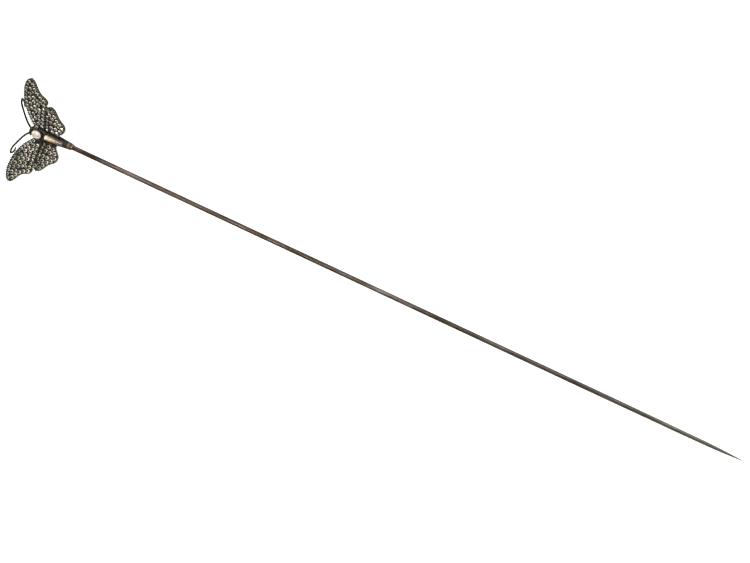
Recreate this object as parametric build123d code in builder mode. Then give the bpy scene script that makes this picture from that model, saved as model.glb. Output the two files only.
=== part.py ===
from build123d import *
import math
import os

# Butterfly hat pin. Millimetres. +X runs along the stem to its point, +Z is the way the butterfly
# faces, and the origin is on the stem's axis at the mouth of the tail ferrule.

# Stem
stem_radius = 0.625
stem_length = 188.0
shank_length = 150.0
neck_radius = 0.53
point_length = 11.0
tip_radius = 0.04
tip_bulge = 0.6
stem_depth_in_abdomen = 1.0
tang_taper = 0.06

# Tail ferrule
ferrule_length = 1.2
ferrule_radius = 0.96
ferrule_lip = 0.32
ferrule_shoulder = 0.48
ferrule_mouth_wall = 0.135
ferrule_mouth_taper = 0.04

# Abdomen, from the ferrule up to the thorax
abdomen_length = 6.1
abdomen_width = 2.7
abdomen_underside = 1.1
abdomen_front_height = 1.5
abdomen_edge_radius = 0.6
abdomen_tail_roundness = 0.97

# Long stone set along the abdomen, with metal left in front of it and behind it
long_stone_inset = 0.35
long_stone_tail_metal = 1.1
long_stone_front_radius = 0.72
long_stone_tail_radius = 0.42
long_stone_front_height = 1.42
long_stone_tail_height = 0.86
long_stone_corner = 0.3

# Thorax, its collet and its oval stone
thorax_length = 3.2
thorax_top = 1.48
thorax_chamfer = 0.5
collet_end_gap = 0.15
collet_side_gap = 0.02
collet_height = 0.85
collet_wall = 0.2
collet_taper = 1
collet_floor = 0.3
oval_stone_height = 1.1
oval_stone_rounding = 0.85

# Head, eyes and antennae
head_length = 0.85
head_width = 1.9
head_top = 1.75
head_underside = 0.4
head_rounding = 0.3
head_top_rounding = 0.24
eye_radius = 0.26
eye_set_back = 0.15
antenna_radius = 0.19
antenna_tip_length = 0.7
antenna_tip_taper = 12
antenna_root_spread = 0.45
antenna_root_depth = 0.55
antenna_reach = 3.4
antenna_spread = 7.0
antenna_rise = 1.4

# Wings: plates leaning up from the body, the hind pair lower than the fore pair
wing_thickness = 0.78
wing_split_gap = 0.25
forewing_span = 12.95
forewing_chord = 5.95
forewing_dihedral = 13
forewing_root_height = 1.86
hindwing_span = 7.6
hindwing_chord = 5.12
hindwing_dihedral = 18
hindwing_root_height = 1.12
wing_root_overlap = 0.5

# Pave stones: eight-sided, each in its own tapered seat drilled through the plate
large_stone_radius = 0.51
small_stone_radius = 0.41
seed_stone_radius = 0.31
metal_between_stones = 0.11
metal_at_wing_edge = 0.08
metal_at_wing_root = 0.1
stone_search_step = 0.1
stone_sides = 8
girdle_thickness = 0.06
crown_share = 0.46
crown_angle = 36
pavilion_share = 0.9
pavilion_angle = 40
seat_hole_radius = 0.16

# Clearance between a stone and the metal it is set in
setting_gap = 0.01
outline_search_gap = 0.01

# Places that follow from the sizes
abdomen_tail_x = -ferrule_length
stem_insertion = ferrule_length + stem_depth_in_abdomen
tang_end_radius = stem_radius - tang_taper
tang_radius_at_abdomen = stem_radius - tang_taper * ferrule_length / stem_insertion
mouth_radius = stem_radius + ferrule_mouth_wall
long_stone_length = abdomen_length - long_stone_inset - long_stone_tail_metal
collet_length = thorax_length - 2 * collet_end_gap
collet_width = abdomen_width - 2 * collet_side_gap
oval_stone_length = collet_length - 2 * collet_wall
oval_stone_width = collet_width - 2 * collet_wall
thorax_rear_x = abdomen_tail_x - abdomen_length
thorax_front_x = thorax_rear_x - thorax_length
thorax_centre_x = (thorax_rear_x + thorax_front_x) / 2
wing_split_x = thorax_rear_x - wing_split_gap
half_body = abdomen_width / 2

os.makedirs("parts", exist_ok=True)


def save(piece, name):
    """Label a finished piece and write it as parts/NAME.step."""
    piece.label = name
    export_step(piece, f"parts/{name}.step")


def save_pair(right, name):
    """Write a right-hand piece and its mirror image across the stem."""
    with BuildPart() as other:
        mirror(right, about=Plane.XZ)
    save(right, f"{name}_right")
    save(other.part, f"{name}_left")


# Stem: a round wire, its tang filed to a slight taper and soldered into the ferrule and abdomen,
# its other end thinning a little and drawn to a point
with BuildPart() as pin_stem:
    with BuildSketch(Plane.XZ):
        with BuildLine():
            Polyline(
                (stem_length, 0),
                (-stem_insertion, 0),
                (-stem_insertion, tang_end_radius),
                (0, stem_radius),
                (shank_length, stem_radius),
                (stem_length - point_length, neck_radius),
            )
            ThreePointArc(
                (stem_length - point_length, neck_radius),
                (stem_length - point_length / 2, tip_bulge * neck_radius),
                (stem_length, tip_radius),
            )
            Line((stem_length, tip_radius), (stem_length, 0))
        make_face()
    revolve(axis=Axis.X)
save(pin_stem.part, "pin_stem")

# Tail ferrule: a turned collar that steps down to the stem
with BuildPart() as tail_ferrule:
    with BuildSketch(Plane.XZ):
        with BuildLine():
            Polyline(
                (0, stem_radius),
                (-ferrule_length, tang_radius_at_abdomen),
                (-ferrule_length, ferrule_radius),
                (-ferrule_lip - ferrule_shoulder, ferrule_radius),
                (-ferrule_lip, mouth_radius + ferrule_mouth_taper),
                (0, mouth_radius),
                close=True,
            )
        make_face()
    revolve(axis=Axis.X)
save(tail_ferrule.part, "tail_ferrule")

# Long stone: a tapered bar with a round section, its axis falling towards the tail
long_stone_front_x = thorax_rear_x + long_stone_inset
long_stone_front = Vector(long_stone_front_x, 0, long_stone_front_height)
long_stone_tail = Vector(long_stone_front_x + long_stone_length, 0, long_stone_tail_height)
long_stone_plane = Plane(long_stone_front, x_dir=long_stone_tail - long_stone_front, z_dir=(0, -1, 0))


def long_stone_shape(gap):
    """The long stone grown by gap on every side; the bigger one is the recess it sits in."""
    length = (long_stone_tail - long_stone_front).length
    with BuildPart() as shape:
        with BuildSketch(long_stone_plane):
            with BuildLine():
                FilletPolyline(
                    (-gap, 0),
                    (-gap, long_stone_front_radius + gap),
                    (length + gap, long_stone_tail_radius + gap),
                    (length + gap, 0),
                    radius=long_stone_corner,
                )
                Line((length + gap, 0), (-gap, 0))
            make_face()
        revolve(axis=Axis(long_stone_front, long_stone_tail - long_stone_front))
    return shape.part


abdomen_cabochon = long_stone_shape(0)
save(abdomen_cabochon, "abdomen_cabochon")

# Abdomen: a tapering sheath, nearly square at the thorax and round at the ferrule, with a blind
# socket for the stem's tang in its tail and the long stone's recess in its back
with BuildPart() as abdomen_sheath:
    front_depth = abdomen_front_height + abdomen_underside
    front_middle = (abdomen_front_height - abdomen_underside) / 2
    with BuildSketch(Plane.YZ.offset(thorax_rear_x)):
        with Locations((0, front_middle)):
            RectangleRounded(abdomen_width, front_depth, abdomen_edge_radius)
    with BuildSketch(Plane.YZ.offset(abdomen_tail_x)):
        tail_size = 2 * ferrule_radius
        RectangleRounded(tail_size, tail_size, abdomen_tail_roundness * ferrule_radius)
    loft(ruled=True)
    add(pin_stem.part, mode=Mode.SUBTRACT)
    add(long_stone_shape(setting_gap), mode=Mode.SUBTRACT)
save(abdomen_sheath.part, "abdomen_sheath")

# Thorax: the block that carries the collet, the head and the forewings
with BuildPart() as thorax_block:
    with BuildSketch(Plane.XY.offset(-abdomen_underside)):
        with Locations((thorax_centre_x, 0)):
            Rectangle(thorax_length, abdomen_width)
    extrude(amount=thorax_top + abdomen_underside)
    chamfer(thorax_block.edges().filter_by(Axis.Z).group_by(Axis.X)[0], thorax_chamfer)
    chamfer(thorax_block.faces().sort_by(Axis.Z)[0].edges().filter_by(Axis.X), thorax_chamfer)
save(thorax_block.part, "thorax_block")

# Thorax stone: an oval cabochon
with BuildPart() as thorax_cabochon:
    with BuildSketch(Plane.XY.offset(thorax_top + collet_floor)):
        with Locations((thorax_centre_x, 0)):
            Ellipse(oval_stone_length / 2, oval_stone_width / 2)
    extrude(amount=oval_stone_height)
    fillet(thorax_cabochon.edges().group_by(Axis.Z)[-1], oval_stone_rounding)
save(thorax_cabochon.part, "thorax_cabochon")

# Collet: the oval cup around the thorax stone
with BuildPart() as thorax_collet:
    with BuildSketch(Plane.XY.offset(thorax_top)):
        with Locations((thorax_centre_x, 0)):
            Ellipse(collet_length / 2, collet_width / 2)
    extrude(amount=collet_height, taper=collet_taper)
    with BuildSketch(Plane.XY.offset(thorax_top + collet_floor)):
        with Locations((thorax_centre_x, 0)):
            Ellipse(oval_stone_length / 2 + setting_gap, oval_stone_width / 2 + setting_gap)
    extrude(amount=collet_height, mode=Mode.SUBTRACT)
save(thorax_collet.part, "thorax_collet")


# Right antenna: a wire that leaves the head, sweeps out sideways and crooks back to a pointed end
head_centre_x = thorax_front_x - head_length / 2
antenna_root = Vector(head_centre_x, antenna_root_spread, head_top - antenna_root_depth)
antenna_course = [(0.17, 0.1), (0.5, 0.36), (0.83, 0.68), (1, 0.9), (0.95, 1), (0.83, 0.95), (0.72, 0.78)]
with BuildPart() as antenna:
    with BuildLine() as antenna_path:
        Spline(antenna_root, *[
            antenna_root + Vector(-antenna_reach * out, antenna_spread * wide, antenna_rise * wide)
            for out, wide in antenna_course
        ])
    with BuildSketch(Plane(antenna_path.line @ 0, z_dir=antenna_path.line % 0)):
        Circle(antenna_radius)
    sweep()
    with BuildSketch(Plane(antenna_path.line @ 1, z_dir=antenna_path.line % 1)):
        Circle(antenna_radius)
    extrude(amount=antenna_tip_length, taper=antenna_tip_taper)
save_pair(antenna.part, "antenna")

# Right eye: a small bead let into the side of the head
with BuildPart() as eye:
    with Locations((head_centre_x + eye_set_back, head_width / 2, head_top - eye_radius)):
        Sphere(eye_radius)
save_pair(eye.part, "eye")

# Head: a rounded block on the thorax's front, with seats for the eyes and holes for the antennae
with BuildPart() as head:
    with BuildSketch(Plane.XY.offset(-head_underside)):
        with Locations((head_centre_x, 0)):
            Rectangle(head_length, head_width)
    extrude(amount=head_top + head_underside)
    fillet(head.edges().filter_by(Axis.Z).group_by(Axis.X)[0], head_rounding)
    fillet(head.edges().group_by(Axis.Z)[-1].sort_by(Axis.X)[:-1], head_top_rounding)
    for let_in in (antenna.part, eye.part):
        add(let_in, mode=Mode.SUBTRACT)
        mirror(let_in, about=Plane.XZ, mode=Mode.SUBTRACT)
save(head.part, "head")


def wing_plane(root_height, dihedral):
    """The top surface of the right-hand wing: local x is +X, local y runs out along the wing."""
    lean = math.radians(dihedral)
    return Plane((0, half_body, root_height), x_dir=(1, 0, 0), z_dir=(0, -math.sin(lean), math.cos(lean)))


forewing_plane = wing_plane(forewing_root_height, forewing_dihedral)
hindwing_plane = wing_plane(hindwing_root_height, hindwing_dihedral)

# Wing outlines, as shares of the chord (forward of the split for the forewing, behind it for the
# hindwing) and of the span
forewing_leading = [(0.328, 0), (0.647, 0.181), (0.815, 0.324), (0.966, 0.544), (1, 0.714),
                    (0.955, 0.88), (0.86, 0.965), (0.735, 1)]
forewing_trailing = [(0.735, 1), (0.6, 0.948), (0.39, 0.79), (0.218, 0.727), (0.05, 0.69),
                     (-0.035, 0.63), (0, 0.58)]
hindwing_outer = [(0, 0.875), (0.088, 0.955), (0.25, 1), (0.4, 0.945), (0.605, 0.737), (0.791, 0.586),
                  (0.947, 0.493), (1, 0.388), (0.98, 0.28), (0.85, 0.164), (0.7, 0.03)]


def on_forewing(points):
    return [(wing_split_x - forewing_chord * a, forewing_span * b) for a, b in points]


def on_hindwing(points):
    return [(wing_split_x + hindwing_chord * a, hindwing_span * b) for a, b in points]


with BuildSketch() as forewing_plan:
    with BuildLine():
        forewing_guide = Spline(*on_forewing(forewing_leading))
        forewing_rear = Spline(*on_forewing(forewing_trailing))
        Polyline(
            forewing_rear @ 1,
            (wing_split_x, -wing_root_overlap),
            ((forewing_guide @ 0).X, -wing_root_overlap),
            forewing_guide @ 0,
        )
        forewing_split = Line(forewing_rear @ 1, (wing_split_x, 0), mode=Mode.PRIVATE)
    make_face()

with BuildSketch() as hindwing_plan:
    with BuildLine():
        hindwing_guide = Spline(*on_hindwing(hindwing_outer))
        Polyline(
            hindwing_guide @ 1,
            ((hindwing_guide @ 1).X, -wing_root_overlap),
            (wing_split_x, -wing_root_overlap),
            hindwing_guide @ 0,
        )
        hindwing_split = Line((wing_split_x, 0), hindwing_guide @ 0, mode=Mode.PRIVATE)
    make_face()


def lay_stones(plan, edges):
    """Stone places for one wing, as (x, y, radius).

    A row of stones first follows each edge, given as its line and the stones' radius. Large
    stones then go in wherever they fit, working inwards from the first edge, and the small and seed
    stones fill what is left.
    """
    face = plan.sketch.face()
    rim = face.outer_wire()
    places = []

    def fits(spot, radius):
        room = radius + metal_between_stones
        clear = all(math.hypot(spot.X - x, spot.Y - y) >= room + r for x, y, r in places)
        on_wing = clear and spot.Y > radius + metal_at_wing_root and face.is_inside(spot)
        return on_wing and rim.distance_to(spot) >= radius + metal_at_wing_edge

    def lay_rows(edge, radius, depth):
        steps = round(edge.length / stone_search_step)
        for row in range(round(depth / stone_search_step) + 1):
            inset = radius + metal_at_wing_edge + outline_search_gap + row * stone_search_step
            for step in range(steps + 1):
                along = edge % (step / steps)
                spot = edge @ (step / steps) + Vector(along.Y, -along.X) * inset
                if fits(spot, radius):
                    places.append((spot.X, spot.Y, radius))

    for edge, radius in edges:
        lay_rows(edge, radius, 0)
    for radius in (large_stone_radius, small_stone_radius, seed_stone_radius):
        lay_rows(edges[0][0], radius, forewing_chord)
    return places


def pave_stone(radius):
    """One stone with its girdle's upper edge at z = 0: a crown above it and a pavilion below."""
    with BuildPart() as stone:
        with BuildSketch():
            RegularPolygon(radius, stone_sides)
        extrude(amount=crown_share * radius, taper=crown_angle)
        with BuildSketch():
            RegularPolygon(radius, stone_sides)
        extrude(amount=-girdle_thickness)
        with BuildSketch(Plane.XY.offset(-girdle_thickness)):
            RegularPolygon(radius, stone_sides)
        extrude(amount=-pavilion_share * radius, taper=pavilion_angle)
    return stone.part


def stone_seat(radius):
    """The hole that a stone sits in: straight at the girdle, tapered below, then drilled through."""
    rim_radius = radius + setting_gap
    taper_depth = (rim_radius - seat_hole_radius) / math.tan(math.radians(pavilion_angle))
    with BuildPart() as seat:
        with BuildSketch(Plane.XZ):
            with BuildLine():
                Polyline(
                    (0, wing_thickness),
                    (rim_radius, wing_thickness),
                    (rim_radius, -girdle_thickness),
                    (seat_hole_radius, -girdle_thickness - taper_depth),
                    (seat_hole_radius, -2 * wing_thickness),
                    (0, -2 * wing_thickness),
                    close=True,
                )
            make_face()
        revolve(axis=Axis.Z)
    return seat.part


def stone_locations(plane, places, radius):
    """Where the stones of one size sit, on a wing's own plane."""
    return [plane.location * Location((x, y, 0)) for x, y, size in places if size == radius]


def make_plate(plan, plane, places, body):
    """A right-hand wing plate with its stone seats, cut back to the body that carries it."""
    with BuildPart() as plate:
        with BuildSketch(plane):
            add(plan.sketch)
        extrude(amount=-wing_thickness)
        for radius in sorted({size for x, y, size in places}):
            with Locations(*stone_locations(plane, places, radius)):
                add(stone_seat(radius), mode=Mode.SUBTRACT)
        for neighbour in body:
            add(neighbour, mode=Mode.SUBTRACT)
    return plate.part


def make_stones(plane, places):
    """The stones of one right-hand wing, each a separate solid."""
    with BuildPart() as stones:
        for radius in sorted({size for x, y, size in places}):
            with Locations(*stone_locations(plane, places, radius)):
                add(pave_stone(radius))
    return stones.part


# Forewings: soldered to the thorax's sides, so nothing of theirs lies inboard of those sides
with BuildPart() as body_zone:
    with Locations((thorax_centre_x, 0, 0)):
        Box(4 * thorax_length, abdomen_width, 4 * abdomen_width)
forewing_edges = [
    (forewing_guide, small_stone_radius),
    (forewing_rear, large_stone_radius),
    (forewing_split, small_stone_radius),
]
forewing_places = lay_stones(forewing_plan, forewing_edges)
save_pair(make_plate(forewing_plan, forewing_plane, forewing_places, [body_zone.part]), "forewing")
save_pair(make_stones(forewing_plane, forewing_places), "forewing_stones")

# Hindwings: soldered to the abdomen, whose rounded side shapes their roots
hindwing_edges = [(hindwing_guide, large_stone_radius), (hindwing_split, small_stone_radius)]
hindwing_places = lay_stones(hindwing_plan, hindwing_edges)
hindwing_body = [thorax_block.part, abdomen_sheath.part]
save_pair(make_plate(hindwing_plan, hindwing_plane, hindwing_places, hindwing_body), "hindwing")
save_pair(make_stones(hindwing_plane, hindwing_places), "hindwing_stones")
print(len(forewing_places), "stones on each forewing,", len(hindwing_places), "on each hindwing")
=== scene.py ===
import math

import bpy
import numpy as np
from mathutils import Matrix, Vector


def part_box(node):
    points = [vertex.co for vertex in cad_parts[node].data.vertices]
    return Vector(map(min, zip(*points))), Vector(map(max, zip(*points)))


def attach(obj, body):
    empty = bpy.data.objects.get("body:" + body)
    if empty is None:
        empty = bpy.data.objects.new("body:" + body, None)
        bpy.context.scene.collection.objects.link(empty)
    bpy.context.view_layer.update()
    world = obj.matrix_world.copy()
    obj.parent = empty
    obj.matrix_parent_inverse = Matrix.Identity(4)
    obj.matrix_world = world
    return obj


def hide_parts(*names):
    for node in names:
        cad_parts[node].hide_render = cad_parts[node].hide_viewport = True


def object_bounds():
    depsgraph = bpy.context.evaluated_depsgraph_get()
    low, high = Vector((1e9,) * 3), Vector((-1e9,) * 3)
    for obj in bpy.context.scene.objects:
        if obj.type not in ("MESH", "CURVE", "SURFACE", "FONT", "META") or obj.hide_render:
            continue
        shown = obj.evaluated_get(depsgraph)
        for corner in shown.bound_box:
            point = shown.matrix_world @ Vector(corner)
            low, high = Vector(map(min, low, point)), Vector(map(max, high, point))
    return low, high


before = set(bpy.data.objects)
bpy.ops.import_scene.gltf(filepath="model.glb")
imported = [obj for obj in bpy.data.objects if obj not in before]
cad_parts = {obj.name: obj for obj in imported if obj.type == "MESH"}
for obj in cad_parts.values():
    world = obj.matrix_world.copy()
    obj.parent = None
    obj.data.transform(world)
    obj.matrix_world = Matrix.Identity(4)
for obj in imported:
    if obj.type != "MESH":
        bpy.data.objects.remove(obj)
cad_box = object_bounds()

# Butterfly hat pin. Metres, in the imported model's own frame: +X runs along the stem to its point,
# +Z is the way the butterfly faces, and the origin is on the stem's axis at the ferrule's mouth.
MM = 0.001


# ---- Stem
# One round steel wire, soldered into the abdomen and drawn out to a point by filing and rolling.
# It has browned with age: dark and rusty near the butterfly, violet-brown along the middle and
# greyer towards the point, with faint lines left by the drawing.
def tint(red, green, blue):
    """Linear colour of a paint-chart one, each part from 0 to 255: ((c / 255 + 0.055) / 1.055) ** 2.4."""
    return (*(((np.array([red, green, blue]) / 255 + 0.055) / 1.055) ** 2.4).tolist(), 1)


def put(tree, kind, values=None, **settings):
    """Add a node of that kind. Each value goes on the input socket of that name, and is linked to it
    where it is a socket itself."""
    made = tree.nodes.new(kind)
    for key, value in settings.items():
        setattr(made, key, value)
    for key, value in (values or {}).items():
        if isinstance(value, bpy.types.NodeSocket):
            tree.links.new(value, made.inputs[key])
        else:
            made.inputs[key].default_value = value
    return made


def ramp(tree, factor, stops):
    """Colours blended along factor, from stops of (place, colour)."""
    made = put(tree, "ShaderNodeValToRGB", {"Fac": factor})
    elements = made.color_ramp.elements
    elements.remove(elements[1])
    elements[0].position, elements[0].color = stops[0]
    for place, colour in stops[1:]:
        elements.new(place).color = colour
    return made.outputs["Color"]


def blend(tree, factor, first, second):
    """The colour that goes from first to second as factor goes from 0 to 1."""
    mix = put(tree, "ShaderNodeMix", {0: factor, 6: first, 7: second}, data_type="RGBA")
    return mix.outputs[2]


def between(tree, value, low, high, from_low=0.0, from_high=1.0):
    """A number taken from the range from_low..from_high to low..high, and kept inside it."""
    fit = {"Value": value, "From Min": from_low, "From Max": from_high, "To Min": low, "To Max": high}
    return put(tree, "ShaderNodeMapRange", fit).outputs["Result"]


def start_material(name):
    """A new material's node tree, its shader, and the place on the piece in metres."""
    material = bpy.data.materials.new(name)
    material.use_nodes = True
    tree = material.node_tree
    place = put(tree, "ShaderNodeTexCoord").outputs["Object"]
    return material, tree, tree.nodes["Principled BSDF"], place


def make_ageing():
    """Node group for old metal. Bare is 0 where tarnish lies thick and 1 where it is rubbed away, on
    patches of a given size and on worn edges; Grain is the fine unevenness of the skin."""
    group = bpy.data.node_groups.new("ageing", "ShaderNodeTree")
    for name, kind in (("Place", "Vector"), ("Patches", "Float"), ("Grains", "Float"), ("Worn", "Float")):
        group.interface.new_socket(name, in_out="INPUT", socket_type="NodeSocket" + kind)
    for name in ("Bare", "Grain"):
        group.interface.new_socket(name, in_out="OUTPUT", socket_type="NodeSocketFloat")
    given = put(group, "NodeGroupInput").outputs
    patch_noise = {"Vector": given["Place"], "Scale": given["Patches"], "Detail": 6.0, "Roughness": 0.62}
    patches = put(group, "ShaderNodeTexNoise", patch_noise).outputs["Fac"]
    grain_noise = {"Vector": given["Place"], "Scale": given["Grains"], "Detail": 3.0, "Roughness": 0.7}
    grain = put(group, "ShaderNodeTexNoise", grain_noise).outputs["Fac"]
    rubbed = between(group, patches, 0.0, 0.55, 0.46, 0.74)
    speckle = between(group, grain, 0.35, 1.0, 0.35, 0.6)
    edges = put(group, "ShaderNodeMath", {0: given["Worn"], 1: speckle}, operation="MULTIPLY")
    both = put(group, "ShaderNodeMath", {0: rubbed, 1: edges.outputs[0]}, operation="MAXIMUM")
    put(group, "NodeGroupOutput", {"Bare": both.outputs[0], "Grain": grain})
    return group


ageing = make_ageing()


def age(tree, place, patches, grains, worn):
    """The ageing group in a material, with its own sizes as patches and grains per metre."""
    sizes = {"Place": place, "Patches": patches, "Grains": grains, "Worn": worn}
    made = put(tree, "ShaderNodeGroup", node_tree=ageing)
    for key, value in sizes.items():
        if isinstance(value, bpy.types.NodeSocket):
            tree.links.new(value, made.inputs[key])
        else:
            made.inputs[key].default_value = value
    return made.outputs


def skin(name, rings):
    """Closed mesh through a stack of rings, an array [ring, point, xyz].

    Quads join each ring to the next one and its last point to its first, and a fan to the middle
    point closes each end. Faces point outwards where the rings turn anticlockwise, seen from the
    last ring's end.
    """
    stack, turns = rings.shape[:2]
    here = np.arange(stack * turns).reshape(stack, turns)
    after = np.roll(here, -1, 1)
    quads = np.stack([here[:-1], after[:-1], after[1:], here[1:]], -1).reshape(-1, 4)
    first = np.full(turns, stack * turns)
    fans = np.concatenate([
        np.stack([first, after[0], here[0]], -1),
        np.stack([first + 1, here[-1], after[-1]], -1),
    ])
    points = np.concatenate([rings.reshape(-1, 3), rings[[0, -1]].mean(1)])
    return new_piece(name, points, *in_turn(quads, fans), True)


def in_turn(*groups):
    """All faces' corners in one row, and each face's count of them, from arrays [face, corner]."""
    corners = np.concatenate([group.ravel() for group in groups])
    counts = np.concatenate([np.full(len(group), group.shape[1]) for group in groups])
    return corners, counts


def new_piece(name, points, corners, counts, smooth):
    """An object in the scene from points and its faces in turn, shaded smooth or in flat facets."""
    mesh = bpy.data.meshes.new(name)
    mesh.vertices.add(len(points))
    mesh.loops.add(len(corners))
    mesh.polygons.add(len(counts))
    mesh.vertices.foreach_set("co", points.astype(np.float32).ravel())
    mesh.loops.foreach_set("vertex_index", corners.astype(np.int32))
    mesh.polygons.foreach_set("loop_start", (np.cumsum(counts) - counts).astype(np.int32))
    mesh.polygons.foreach_set("use_smooth", np.full(len(counts), smooth))
    mesh.update(calc_edges=True)
    piece = bpy.data.objects.new(name, mesh)
    bpy.context.scene.collection.objects.link(piece)
    return piece


def mark_wear(piece, worn_radius):
    """Write the point attribute "wear", 1 on edges as sharp as worn_radius and 0 on flats.

    An edge from p0 to p1 with normals n0 and n1 bends by (n1 - n0).(p1 - p0) / |p1 - p0|^2, which
    is one over its radius. Each point takes its sharpest edge's bend times worn_radius.
    """
    mesh = piece.data
    place = np.empty(len(mesh.vertices) * 3)
    normal = np.empty(len(mesh.vertices) * 3)
    ends = np.empty(len(mesh.edges) * 2, np.int32)
    mesh.vertices.foreach_get("co", place)
    mesh.vertices.foreach_get("normal", normal)
    mesh.edges.foreach_get("vertices", ends)
    first, second = ends.reshape(-1, 2).T
    along = place.reshape(-1, 3)[second] - place.reshape(-1, 3)[first]
    turned = normal.reshape(-1, 3)[second] - normal.reshape(-1, 3)[first]
    bend = (turned * along).sum(1) / np.maximum((along ** 2).sum(1), 1e-14)
    wear = np.zeros(len(mesh.vertices))
    np.maximum.at(wear, first, bend * worn_radius)
    np.maximum.at(wear, second, bend * worn_radius)
    attribute = mesh.attributes.new("wear", "FLOAT", "POINT")
    attribute.data.foreach_set("value", np.clip(wear, 0, 1).astype(np.float32))


def fit_out(piece, material, slot, *nodes):
    """Give a finished piece its material and let it stand for its nodes of the frame; the slot is not used.
    """
    piece.data.materials.append(material)
    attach(piece, "root")
    if nodes:
        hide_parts(*nodes)
    return piece


def turned_rings(along, radius, turns):
    """Rings of a turned piece: ring i, point j is (x_i, r_i cos t_j, r_i sin t_j), t_j = 2 pi j / turns."""
    angle = np.arange(turns) * 2 * np.pi / turns
    across = radius[:, None] * np.cos(angle)
    up = radius[:, None] * np.sin(angle)
    return np.stack([np.broadcast_to(along[:, None], across.shape), across, up], -1)


stem_low, stem_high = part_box("pin_stem")
wire_radius = stem_high.z
neck_radius = 0.53 * MM
tip_radius = 0.07 * MM
tip_bulge = 0.72
shank_end = 150 * MM
point_start = stem_high.x - 11 * MM


def stem_radius_at(along):
    """Radius of the wire: even to shank_end, then thinning in a straight line to point_start, then the
    curve r(s) = (1 - s)^2 a + 2 s (1 - s) m + s^2 b of the point, where m bulges it out."""
    taper = np.interp(along, [shank_end, point_start], [wire_radius, neck_radius])
    share = np.clip((along - point_start) / (stem_high.x - point_start), 0, 1)
    middle = 2 * tip_bulge * neck_radius - (neck_radius + tip_radius) / 2
    point = (1 - share) ** 2 * neck_radius + 2 * share * (1 - share) * middle + share ** 2 * tip_radius
    return np.where(along > point_start, point, taper)


stem_places = np.concatenate([
    np.linspace(stem_low.x, point_start, 180),
    point_start + (stem_high.x - point_start) * np.sin(np.linspace(0.03, np.pi / 2, 40)),
])
pin_stem = skin("pin_stem_drawn", turned_rings(stem_places, stem_radius_at(stem_places), 40))

stem_steel, tree, shader, place = start_material("browned_stem_steel")
apart = put(tree, "ShaderNodeSeparateXYZ", {"Vector": place}).outputs
run = between(tree, apart["X"], 0.0, 1.0, 0.0, stem_high.x)
along_wire = put(tree, "ShaderNodeMapping", {"Vector": place, "Scale": (0.16, 1.0, 1.0)}).outputs["Vector"]
drawn = put(tree, "ShaderNodeMapping", {"Vector": place, "Scale": (0.035, 1.0, 1.0)}).outputs["Vector"]
steel_age = age(tree, along_wire, 620.0, 9000.0, 0.0)
streaks = put(tree, "ShaderNodeTexNoise", {"Vector": drawn, "Scale": 3600.0, "Detail": 4.0}).outputs["Fac"]
lengths = ramp(tree, run, [
    (0.0, tint(60, 46, 33)), (0.06, tint(64, 52, 37)), (0.12, tint(76, 63, 58)), (0.2, tint(72, 59, 54)),
    (0.27, tint(64, 56, 43)), (0.38, tint(62, 54, 43)), (0.48, tint(76, 67, 62)), (0.56, tint(70, 65, 53)),
    (0.7, tint(66, 58, 48)), (0.8, tint(98, 89, 84)), (0.9, tint(110, 106, 96)), (1.0, tint(120, 119, 109)),
])
body = blend(tree, between(tree, steel_age["Grain"], 0.0, 0.35, 0.4, 0.6), lengths, tint(104, 92, 88))
rust = ramp(tree, run, [
    (0.0, tint(44, 28, 18)), (0.25, tint(56, 42, 30)), (0.7, tint(58, 50, 40)), (1.0, tint(104, 102, 90)),
])
rust_noise = put(tree, "ShaderNodeTexNoise", {"Vector": along_wire, "Scale": 1500.0, "Detail": 5.0})
rusty = between(tree, rust_noise.outputs["Fac"], 1.0, 0.0, 0.42, 0.6)
patched = blend(tree, rusty, body, rust)
rubbed = blend(tree, steel_age["Bare"], patched, tint(142, 132, 125))
lines = blend(tree, between(tree, streaks, 0.0, 0.5, 0.5, 0.7), rubbed, tint(42, 36, 26))
tree.links.new(lines, shader.inputs["Base Color"])
tree.links.new(between(tree, streaks, 0.3, 0.46, 0.35, 0.65), shader.inputs["Roughness"])
shader.inputs["Metallic"].default_value = 0.85
dents = put(tree, "ShaderNodeBump", {"Height": streaks, "Strength": 0.25, "Distance": 0.03 * MM})
tree.links.new(dents.outputs["Normal"], shader.inputs["Normal"])
fit_out(pin_stem, stem_steel, "stem_steel", "pin_stem")


# ---- Tail ferrule
# A turned silver collar, soldered over the stem where it leaves the abdomen. It steps down to the
# wire in a soft shoulder. Its worn edges and rubbed patches take a bright pinkish bare colour, partly real
# wear and partly a painted highlight where the mouth and shoulder catch the light.
def soft_corners(corners, reach, steps):
    """A line through corners, each turned into the curve (1 - s)^2 a + 2 s (1 - s) p + s^2 b, where
    a and b lie reach away from the corner p along its two sides. The two ends stay sharp."""
    corners = np.array(corners, float)
    before, corner, after = corners[:-2], corners[1:-1], corners[2:]
    first = corner + reach * (before - corner) / np.linalg.norm(before - corner, axis=1)[:, None]
    last = corner + reach * (after - corner) / np.linalg.norm(after - corner, axis=1)[:, None]
    s = np.linspace(0, 1, steps)[None, :, None]
    bends = (1 - s) ** 2 * first[:, None] + 2 * s * (1 - s) * corner[:, None] + s ** 2 * last[:, None]
    return np.concatenate([corners[:1], bends.reshape(-1, 2), corners[-1:]])


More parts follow.
